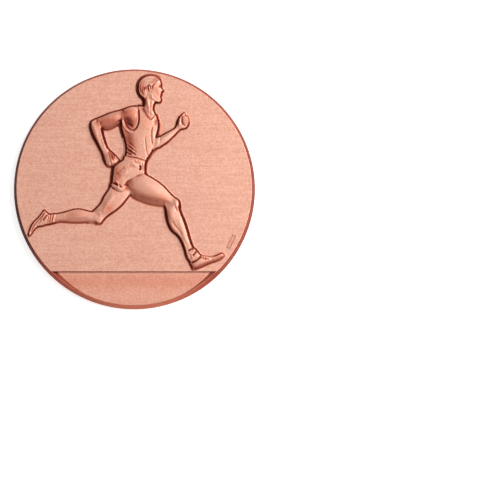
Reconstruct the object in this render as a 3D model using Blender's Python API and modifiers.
"""Sports finisher medal: a built-up bronze medal with an applied relief of a runner.

The medal lies flat, face up. The origin is the centre of its back face, +Z comes out of the face,
+Y points to the top of the medal, and the runner runs towards +X.
"""

import math

import bmesh
import bpy
from mathutils import Matrix

MM = 0.001

# Driving dimensions, in millimetres
OUTER_R = 30.0
FIELD_R = 29.27
FIELD_Z = 3.2
SIDE_FOOT_Z = 0.6
BACK_CHAMFER = 0.35
GROUND_Y = -20.75
SEAT_Z = 1.6
FLOOR_DEEP_Z = 2.2
CREST_Z = 3.1
CREST_W = 0.2
EXERGUE_WALL_W = 0.95
RAMP_LENGTH = 7.4
FILM_T = 0.06
FIT = 0.02
PLATE_EDGE_ROUND = 0.08
RECESS_R = 25.0
RECESS_D = 0.7
REVERSE_T = 0.5
REVERSE_CLEAR = 0.08
REVERSE_EDGE_ROUND = 0.06
STUD_R = 0.8
STUD_LENGTH = 0.7
STUD_ROOT = 0.4
STUD_PLACES = ((1.2, 11.5), (-5.4, -4.4), (9.8, -6.4))
TABLET_SIZE = (3.6, 1.0)
TABLET_H = 0.12
TABLET_ROOT = 0.2
TABLET_PLACE = (24.1, -13.4)
TABLET_ANGLE = 64.0

FILM_INSET = 0.25

# Fineness of the round surfaces, and the reach of the cutters past what they cut
SEGMENTS = 112
PEG_SEGMENTS = 24
OUTLINE_STEPS = 3
MERGE_M = 1e-6
BIG = 80.0
CUT_CLEAR = 1.0

# The runner is drawn on its own grid, then fitted to the round field with these shares of x and y.
FIGURE_WIDTH = 1.024
FIGURE_LEAN = -0.021
FIGURE_HEIGHT = 0.977

# The runner, limb by limb: height above the field, rounding of the edge, and the outline.
LIMBS = {
    "far_forearm": (0.75, 0.4, (
        (4.6, 9.8), (6.2, 10.1), (7.3, 10.8), (8.3, 11.5), (9.2, 12.3), (10.0, 13.1), (10.8, 14.0),
        (11.6, 14.9), (10.9, 15.6), (10.0, 15.3), (8.9, 14.5), (7.8, 14.0), (6.7, 13.3), (5.4, 12.9),
        (4.4, 12.0))),
    "far_fist": (0.95, 0.4, (
        (10.2, 15.2), (10.5, 16.2), (10.8, 17.4), (11.3, 18.3), (12.0, 18.9), (12.6, 19.2),
        (13.1, 18.6), (13.5, 17.9), (13.7, 17.0), (13.6, 16.1), (13.1, 15.3), (12.2, 14.9),
        (11.2, 14.6))),
    "far_thigh": (1.0, 0.5, (
        (-5.8, 0.6), (-6.4, -0.5), (-7.2, -1.6), (-7.8, -2.7), (-8.3, -3.8), (-9.2, -4.9),
        (-10.2, -5.8), (-10.7, -7.3), (-10.0, -8.9), (-8.7, -9.4), (-7.8, -8.9), (-6.9, -7.6),
        (-5.6, -6.5), (-4.0, -5.4), (-2.8, -4.3), (-1.6, -2.8), (-0.8, -1.0), (-2.4, 1.0))),
    "far_calf": (0.85, 0.4, (
        (-8.6, -5.9), (-10.2, -5.9), (-12.0, -5.5), (-13.8, -5.3), (-15.4, -5.5), (-17.2, -6.1),
        (-19.2, -6.5), (-20.3, -7.7), (-19.6, -9.0), (-17.4, -8.8), (-15.0, -8.9), (-12.5, -8.9),
        (-10.4, -9.1), (-8.7, -9.3), (-7.6, -8.0))),
    "far_shoe": (0.75, 0.3, (
        (-20.8, -6.2), (-21.8, -5.6), (-22.6, -6.5), (-23.7, -7.7), (-24.7, -8.8), (-25.4, -10.1),
        (-25.9, -11.8), (-25.4, -12.3), (-24.7, -11.4), (-23.7, -10.2), (-22.6, -9.7),
        (-21.0, -9.4), (-19.2, -9.0), (-19.0, -6.6))),
    "torso": (1.3, 0.5, (
        (-2.6, 19.9), (-1.0, 20.7), (0.6, 21.0), (2.4, 20.9), (4.4, 20.2), (5.6, 19.0), (6.2, 17.5),
        (6.35, 16.0), (6.0, 14.2), (5.5, 12.4), (5.2, 10.8), (4.5, 9.1), (3.5, 7.6), (3.0, 6.6),
        (0.5, 6.0), (-2.2, 7.4), (-1.9, 9.2), (-1.85, 11.0), (-2.2, 12.8), (-2.7, 14.6),
        (-3.0, 16.2), (-3.0, 18.2))),
    "shorts": (1.35, 0.5, (
        (-2.3, 8.3), (-0.6, 8.0), (1.2, 7.6), (2.8, 7.0), (3.1, 6.0), (2.9, 4.8), (2.8, 3.6),
        (1.2, 3.2), (-0.4, 2.3), (-1.7, 1.2), (-2.4, -0.3), (-3.2, -1.0), (-4.6, -0.6),
        (-5.8, 0.3), (-5.5, 1.8), (-5.3, 3.4), (-5.0, 4.9), (-4.0, 6.1), (-2.9, 7.0))),
    "near_thigh": (1.5, 0.8, (
        (2.0, 4.0), (3.8, 3.0), (5.6, 1.85), (7.2, 0.5), (8.5, -0.9), (9.8, -2.3), (10.9, -3.1),
        (11.2, -4.5), (9.6, -5.6), (7.2, -4.6), (5.0, -4.3), (2.8, -3.9), (0.8, -3.1), (-0.9, -1.9),
        (-2.2, -0.4), (-1.6, 1.8), (0.2, 3.4))),
    "near_shin": (1.35, 0.6, (
        (8.6, -2.2), (10.0, -2.5), (10.9, -3.2), (11.2, -4.6), (11.4, -6.0), (12.0, -7.8),
        (12.6, -9.8), (13.1, -11.6), (13.6, -13.6), (14.2, -15.3), (13.9, -17.0), (12.6, -18.0),
        (12.0, -16.4), (11.6, -14.8), (11.0, -13.3), (10.2, -12.0), (9.1, -11.1), (8.3, -9.8),
        (7.8, -8.2), (7.6, -6.4), (7.3, -4.8), (7.2, -3.4))),
    "near_shoe": (1.3, 0.5, (
        (13.9, -15.2), (15.0, -15.9), (15.9, -17.1), (17.6, -17.4), (19.1, -17.3), (20.6, -16.7),
        (21.6, -17.1), (20.9, -18.0), (19.2, -18.8), (17.2, -19.6), (15.4, -20.4), (13.9, -20.9),
        (13.3, -19.8), (12.6, -18.3), (12.0, -16.8), (12.4, -15.6))),
    "neck": (1.25, 0.5, (
        (2.4, 20.0), (2.5, 21.4), (2.8, 23.2), (4.6, 23.6), (6.0, 22.4), (5.4, 21.2), (5.3, 19.8),
        (4.6, 18.4), (3.2, 18.8))),
    "head": (1.45, 0.7, (
        (2.5, 22.9), (1.7, 24.0), (1.3, 25.4), (1.5, 27.0), (2.4, 28.1), (3.9, 28.6), (5.6, 28.5),
        (6.5, 27.6), (6.8, 26.2), (6.9, 25.2), (7.3, 24.6), (6.9, 24.0), (6.9, 23.0), (6.7, 22.1),
        (6.0, 21.8), (4.6, 22.2), (3.4, 22.7))),
    "near_upper_arm": (1.6, 0.7, (
        (1.3, 19.8), (0.3, 20.8), (-1.0, 20.7), (-2.6, 20.0), (-4.4, 19.6), (-6.2, 19.0),
        (-8.0, 18.2), (-9.6, 17.5), (-10.4, 16.5), (-10.0, 15.4), (-8.2, 15.2), (-6.4, 15.1),
        (-4.6, 15.7), (-3.0, 16.7), (-1.6, 16.9), (-0.2, 16.6), (1.1, 17.6))),
    "near_forearm": (1.45, 0.6, (
        (-8.0, 17.0), (-9.4, 17.2), (-10.4, 16.6), (-10.4, 15.2), (-10.0, 13.7), (-9.4, 12.2),
        (-8.7, 10.8), (-8.0, 9.4), (-7.4, 8.4), (-6.0, 9.2), (-6.2, 10.8), (-6.7, 12.5),
        (-7.2, 14.4), (-7.4, 15.8))),
    "near_hand": (1.5, 0.45, (
        (-7.8, 9.4), (-7.4, 7.8), (-7.1, 6.6), (-6.3, 5.4), (-5.4, 5.2), (-4.4, 5.6), (-3.6, 6.7),
        (-4.3, 8.1), (-5.2, 9.2), (-6.1, 10.2), (-7.2, 10.4))),
}

# Colours, linear RGB
COPPER_BRONZE = (0.62, 0.28, 0.19)
DARK_BRONZE = (0.40, 0.17, 0.11)
SOLDER_GREY = (0.35, 0.33, 0.30)
CLEAR_ADHESIVE = (0.75, 0.72, 0.62)


def start_empty():
    for obj in list(bpy.data.objects):
        bpy.data.objects.remove(obj, do_unlink=True)
    parts = bpy.data.collections.new("finisher_medal")
    cutters = bpy.data.collections.new("cutters")
    for collection in (parts, cutters):
        bpy.context.scene.collection.children.link(collection)
    cutters.hide_render = True
    return parts, cutters


def material(name, colour, roughness, metallic):
    made = bpy.data.materials.new(name)
    made.use_nodes = True
    shader = made.node_tree.nodes["Principled BSDF"]
    shader.inputs["Base Color"].default_value = (*colour, 1.0)
    shader.inputs["Roughness"].default_value = roughness
    shader.inputs["Metallic"].default_value = metallic
    made.diffuse_color = (*colour, 1.0)
    return made


def add(name, mesh, collection):
    obj = bpy.data.objects.new(name, mesh)
    collection.objects.link(obj)
    if collection.hide_render:
        obj.hide_render = True
        obj.display_type = "WIRE"
    return obj


def turned(name, profile, collection):
    """A solid of revolution about Z: (radius, height) points from the top to the back."""
    mesh = bpy.data.meshes.new(name)
    points = [(radius * MM, 0.0, height * MM) for radius, height in profile]
    mesh.from_pydata(points, [(i, i + 1) for i in range(len(points) - 1)], [])
    obj = add(name, mesh, collection)
    screw = obj.modifiers.new("turn", "SCREW")
    screw.steps = screw.render_steps = SEGMENTS
    screw.use_merge_vertices = True
    screw.merge_threshold = MERGE_M
    screw.use_smooth_shade = False
    return obj


def block(name, low, high, collection):
    mesh = bpy.data.meshes.new(name)
    solid = bmesh.new()
    bmesh.ops.create_cube(solid, size=1.0)
    sides = [(b - a) * MM for a, b in zip(low, high)]
    middle = [(a + b) * 0.5 * MM for a, b in zip(low, high)]
    bmesh.ops.transform(solid, matrix=Matrix.Diagonal((*sides, 1.0)), verts=solid.verts)
    solid.to_mesh(mesh)
    solid.free()
    obj = add(name, mesh, collection)
    obj.location = middle
    return obj


def peg(name, place, radius, z_low, z_high, collection):
    """An upright cylinder at (x, y) from z_low to z_high."""
    mesh = bpy.data.meshes.new(name)
    solid = bmesh.new()
    bmesh.ops.create_cone(
        solid,
        cap_ends=True,
        segments=PEG_SEGMENTS,
        radius1=radius * MM,
        radius2=radius * MM,
        depth=(z_high - z_low) * MM,
    )
    solid.to_mesh(mesh)
    solid.free()
    obj = add(name, mesh, collection)
    obj.location = (place[0] * MM, place[1] * MM, (z_low + z_high) * 0.5 * MM)
    return obj


def join(obj, other, operation):
    boolean = obj.modifiers.new(operation.lower() + "_" + other.name, "BOOLEAN")
    boolean.operation = operation
    boolean.solver = "EXACT"
    boolean.object = other


def side_radius(z):
    """The tapered side's radius at a height, the same on the body and the plate."""
    share = (z - SIDE_FOOT_Z) / (FIELD_Z - SIDE_FOOT_Z)
    return OUTER_R + (FIELD_R - OUTER_R) * share


def medal_body(parts, cutters):
    """The struck base: tapered side, seat for the face plate, sunk exergue and back recess."""
    body = turned(
        "medal_body",
        (
            (0.0, CREST_Z),
            (side_radius(CREST_Z), CREST_Z),
            (OUTER_R, SIDE_FOOT_Z),
            (OUTER_R, BACK_CHAMFER),
            (OUTER_R - BACK_CHAMFER, 0.0),
            (RECESS_R, 0.0),
            (RECESS_R, RECESS_D),
            (0.0, RECESS_D),
        ),
        parts,
    )
    seat = block("seat_cutter", (-BIG, GROUND_Y, SEAT_Z), (BIG, BIG, BIG), cutters)
    join(body, seat, "DIFFERENCE")
    join(body, exergue_cutter(cutters), "DIFFERENCE")
    return body


def exergue_cutter(cutters):
    """The sunk floor under the ground line: it slopes up from the line to the rim's crest."""
    crest_r = side_radius(CREST_Z) - CREST_W
    floor_r = crest_r - EXERGUE_WALL_W
    wall_slope = EXERGUE_WALL_W / (CREST_Z - FLOOR_DEEP_Z)
    pocket = turned(
        "exergue_cutter",
        (
            (0.0, CREST_Z + CUT_CLEAR),
            (crest_r + CUT_CLEAR * wall_slope, CREST_Z + CUT_CLEAR),
            (floor_r, FLOOR_DEEP_Z),
            (0.0, FLOOR_DEEP_Z),
        ),
        cutters,
    )
    rise = math.atan2(CREST_Z - FLOOR_DEEP_Z, RAMP_LENGTH)
    ramp = block("exergue_ramp", (-BIG, -BIG, -BIG), (BIG, BIG, 0.0), cutters)
    ramp.data.transform(Matrix.Translation((0.0, 0.0, -BIG * 0.5 * MM)))
    ramp.location = (0.0, GROUND_Y * MM, FLOOR_DEEP_Z * MM)
    ramp.rotation_euler.x = -rise
    join(pocket, ramp, "DIFFERENCE")
    return pocket


def plate_floor():
    return SEAT_Z + FILM_T + 2 * FIT


def field_plate(parts, cutters):
    """The face plate: the plain field above the ground line, with blind holes for the runner's studs."""
    low = plate_floor()
    plate = turned(
        "field_plate",
        (
            (0.0, FIELD_Z),
            (FIELD_R - PLATE_EDGE_ROUND, FIELD_Z),
            (side_radius(FIELD_Z - PLATE_EDGE_ROUND), FIELD_Z - PLATE_EDGE_ROUND),
            (side_radius(low), low),
            (0.0, low),
        ),
        parts,
    )
    ground = block("ground_cutter", (-BIG, -BIG, -BIG), (BIG, GROUND_Y + FIT, BIG), cutters)
    join(plate, ground, "DIFFERENCE")
    for index, place in enumerate(STUD_PLACES):
        hole_floor = FIELD_Z - STUD_LENGTH - 2 * FIT
        name = "stud_hole_%d" % (index + 1)
        hole = peg(name, place, STUD_R + 2 * FIT, hole_floor, FIELD_Z + CUT_CLEAR, cutters)
        join(plate, hole, "DIFFERENCE")
    join(plate, maker_tablet(cutters), "UNION")
    return plate


def maker_tablet(cutters):
    """A small plain raised tablet near the plate's edge, left blank."""
    half = [side * 0.5 for side in TABLET_SIZE]
    low = (-half[0], -half[1], FIELD_Z - TABLET_ROOT)
    high = (half[0], half[1], FIELD_Z + TABLET_H)
    tablet = block("maker_tablet", low, high, cutters)
    tablet.location.x, tablet.location.y = (side * MM for side in TABLET_PLACE)
    tablet.rotation_euler.z = math.radians(TABLET_ANGLE)
    return tablet


def film_disc(name, radius, z_low, parts):
    profile = ((0.0, z_low + FILM_T), (radius, z_low + FILM_T), (radius, z_low), (0.0, z_low))
    return turned(name, profile, parts)


def field_solder_film(parts, cutters):
    film = film_disc("field_solder_film", FIELD_R - FILM_INSET, SEAT_Z + FIT, parts)
    edge = GROUND_Y + FILM_INSET
    trim = block("film_trim", (-BIG, -BIG, -BIG), (BIG, edge, BIG), cutters)
    join(film, trim, "DIFFERENCE")
    return film


def reverse_adhesive_film(parts):
    z_low = RECESS_D - FILM_T - FIT
    return film_disc("reverse_adhesive_film", RECESS_R - FILM_INSET, z_low, parts)


def reverse_plate(parts):
    """The plain engraving disc let into the back, a little below the back face."""
    z_high = RECESS_D - FILM_T - 2 * FIT
    z_low = z_high - REVERSE_T
    radius = RECESS_R - REVERSE_CLEAR
    profile = (
        (0.0, z_high),
        (radius, z_high),
        (radius, z_low + REVERSE_EDGE_ROUND),
        (radius - REVERSE_EDGE_ROUND, z_low),
        (0.0, z_low),
    )
    return turned("reverse_plate", profile, parts)


def fitted(x, y):
    return FIGURE_WIDTH * x + FIGURE_LEAN * y, FIGURE_HEIGHT * y


def flat_limb(name, height, rounding, outline, collection):
    """A closed outline drawn out to both sides of the field, with a rounded edge."""
    curve = bpy.data.curves.new(name, "CURVE")
    curve.dimensions = "2D"
    curve.fill_mode = "BOTH"
    curve.resolution_u = OUTLINE_STEPS
    curve.extrude = (height - rounding) * MM
    curve.bevel_depth = rounding * MM
    curve.bevel_resolution = 1
    curve.offset = -rounding * MM
    spline = curve.splines.new("BEZIER")
    spline.bezier_points.add(len(outline) - 1)
    for knot, point in zip(spline.bezier_points, outline):
        x, y = fitted(*point)
        knot.co = (x * MM, y * MM, 0.0)
        knot.handle_left_type = knot.handle_right_type = "AUTO"
    spline.use_cyclic_u = True
    drawn = bpy.data.objects.new(name + "_outline", curve)
    collection.objects.link(drawn)
    bpy.context.view_layer.update()
    graph = bpy.context.evaluated_depsgraph_get()
    mesh = bpy.data.meshes.new_from_object(drawn.evaluated_get(graph))
    bpy.data.objects.remove(drawn, do_unlink=True)
    solid = bmesh.new()
    solid.from_mesh(mesh)
    bmesh.ops.remove_doubles(solid, verts=solid.verts, dist=MERGE_M)
    bmesh.ops.recalc_face_normals(solid, faces=solid.faces)
    solid.to_mesh(mesh)
    solid.free()
    limb = add(name, mesh, collection)
    limb.location.z = (FIELD_Z + FIT) * MM
    return limb


def runner_relief(parts, cutters):
    """The applied figure: rounded limbs joined, cut flat at the field, with locating studs below."""
    limbs = bpy.data.collections.new("runner_limbs")
    limbs.hide_render = True
    cutters.children.link(limbs)
    shapes = [flat_limb(name, *limb, limbs) for name, limb in LIMBS.items()]
    runner = add("runner_relief", shapes[0].data.copy(), parts)
    runner.location.z = (FIELD_Z + FIT) * MM
    for shape in shapes[1:]:
        join(runner, shape, "UNION")
    below = block("below_field", (-BIG, -BIG, -BIG), (BIG, BIG, FIELD_Z + FIT), cutters)
    join(runner, below, "DIFFERENCE")
    for index, place in enumerate(STUD_PLACES):
        name = "stud_%d" % (index + 1)
        stud = peg(name, place, STUD_R, FIELD_Z - STUD_LENGTH, FIELD_Z + STUD_ROOT, cutters)
        join(runner, stud, "UNION")
    return runner


def main():
    parts, cutters = start_empty()
    copper = material("antique_copper_bronze", COPPER_BRONZE, 0.45, 1.0)
    dark = material("dark_bronze", DARK_BRONZE, 0.5, 1.0)
    relief = material("relief_bronze", COPPER_BRONZE, 0.42, 1.0)
    satin = material("reverse_bronze", COPPER_BRONZE, 0.3, 1.0)
    solder = material("solder", SOLDER_GREY, 0.5, 1.0)
    adhesive = material("adhesive", CLEAR_ADHESIVE, 0.4, 0.0)
    made = (
        (medal_body(parts, cutters), dark),
        (field_solder_film(parts, cutters), solder),
        (field_plate(parts, cutters), copper),
        (runner_relief(parts, cutters), relief),
        (reverse_adhesive_film(parts), adhesive),
        (reverse_plate(parts), satin),
    )
    for obj, finish in made:
        obj.data.materials.clear()
        obj.data.materials.append(finish)


main()
